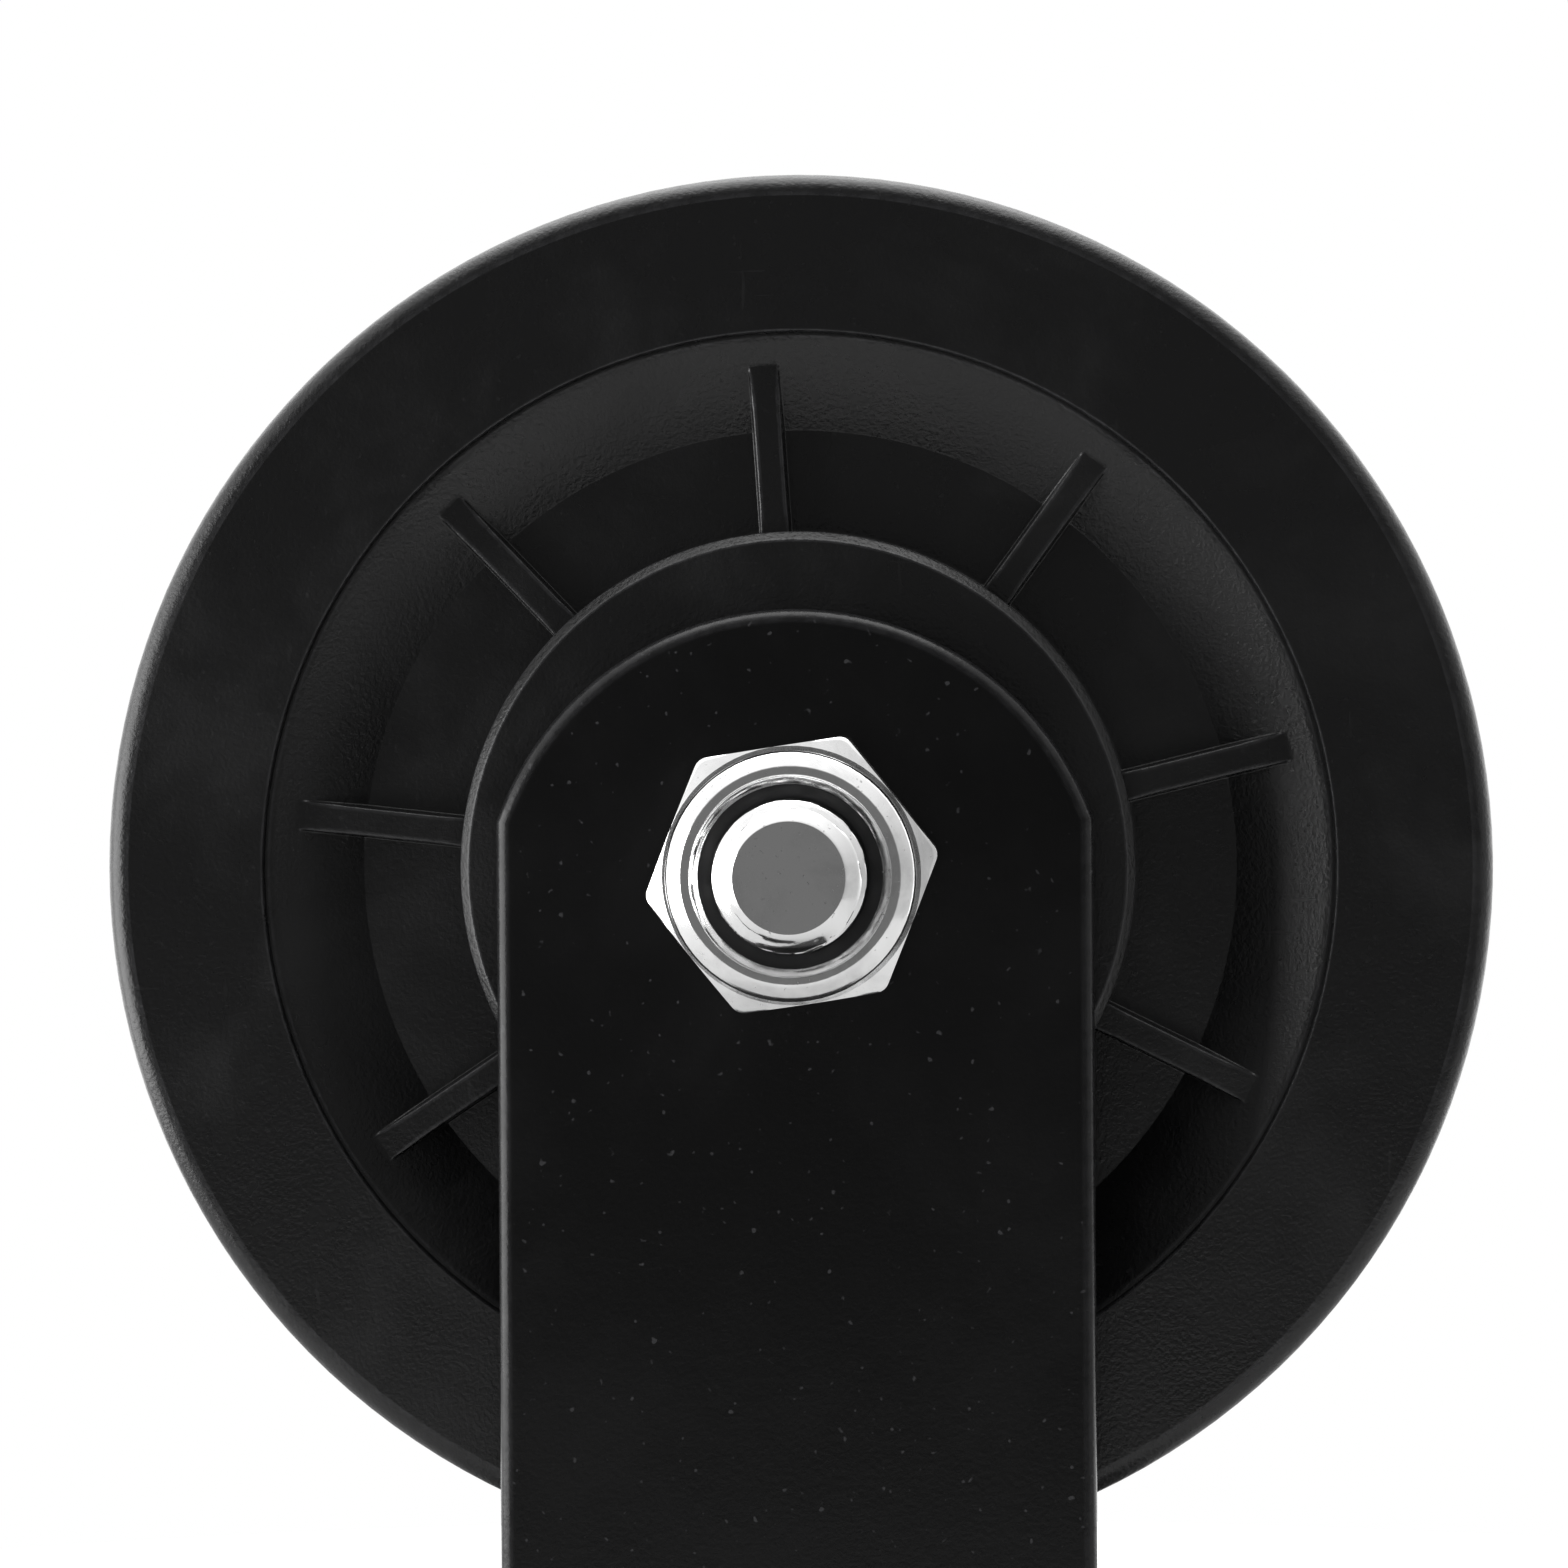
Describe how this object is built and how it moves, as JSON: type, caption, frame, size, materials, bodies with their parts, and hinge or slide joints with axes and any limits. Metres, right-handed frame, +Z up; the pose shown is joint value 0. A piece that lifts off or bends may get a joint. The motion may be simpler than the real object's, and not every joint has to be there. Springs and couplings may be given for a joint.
{
  "type": "single sheave block",
  "caption": "Upright swivel block: a grooved, ribbed wheel turning between the cheeks of a bent strap fork, on a square base plate with corner holes.",
  "frame": {"origin": "centre of the base plate's underside, on the swivel's axis", "axes": "+Z up out of the base along the swivel's axis; +Y along the axle from the nut to the bolt head; +X across the fork, in the plane of the wheel"},
  "size_m": [0.095, 0.08, 0.1265],
  "materials": {
    "black_powder_coat": "satin black powder coat, fine texture",
    "wheel_nylon": "moulded black nylon, satin with light scuffs",
    "zinc_plate": "bright zinc plate, slightly grainy",
    "insert_nylon": "dark nylon",
    "acetal": "turned black acetal",
    "steel": "turned steel",
    "bearing_steel": "ground bearing steel",
    "cage_nylon": "natural nylon",
    "seal_rubber": "moulded rubber"
  },
  "bodies": {
    "base": {"base_plate": "black_powder_coat", "pivot_screw": "zinc_plate", "pivot_sleeve": "steel", "lower_thrust_washer": "acetal", "pivot_washer": "zinc_plate", "pivot_nut": "zinc_plate", "pivot_nut_insert": "insert_nylon"},
    "fork": {"fork_strap": "black_powder_coat", "crown_bush": "acetal", "top_thrust_washer": "steel", "axle_bolt": "zinc_plate", "bolt_head_washer": "zinc_plate", "axle_nut": "zinc_plate", "axle_nut_insert": "insert_nylon", "centre_spacer": "steel", "front_side_spacer": "steel", "rear_side_spacer": "steel", "front_bearing_inner_race": "bearing_steel", "rear_bearing_inner_race": "bearing_steel"},
    "sheave": {"sheave_wheel": "wheel_nylon", "front_bearing_outer_race": "bearing_steel", "front_bearing_outside_seal": "seal_rubber", "front_bearing_inside_seal": "seal_rubber", "rear_bearing_outer_race": "bearing_steel", "rear_bearing_outside_seal": "seal_rubber", "rear_bearing_inside_seal": "seal_rubber"},
    "front_cage": {"front_bearing_balls": "bearing_steel", "front_bearing_cage": "cage_nylon"},
    "rear_cage": {"rear_bearing_balls": "bearing_steel", "rear_bearing_cage": "cage_nylon"}
  },
  "joints": [
    {"name": "fork_swivel", "type": "hinge", "parent": "base", "child": "fork", "pos_m": [0, 0, 0.0085], "axis": [0, 0, 1], "continuous": true},
    {"name": "sheave_spin", "type": "hinge", "parent": "fork", "child": "sheave", "pos_m": [0, 0, 0.079], "axis": [0, -1, 0], "continuous": true},
    {"name": "front_cage_spin", "type": "hinge", "parent": "fork", "child": "front_cage", "pos_m": [0, 0, 0.079], "axis": [0, -1, 0], "continuous": true},
    {"name": "rear_cage_spin", "type": "hinge", "parent": "fork", "child": "rear_cage", "pos_m": [0, 0, 0.079], "axis": [0, -1, 0], "continuous": true}
  ],
  "couplings": [
    {"joint": "front_cage_spin", "follows": "sheave_spin", "ratio": 0.63228},
    {"joint": "rear_cage_spin", "follows": "sheave_spin", "ratio": 0.63228}
  ]
}
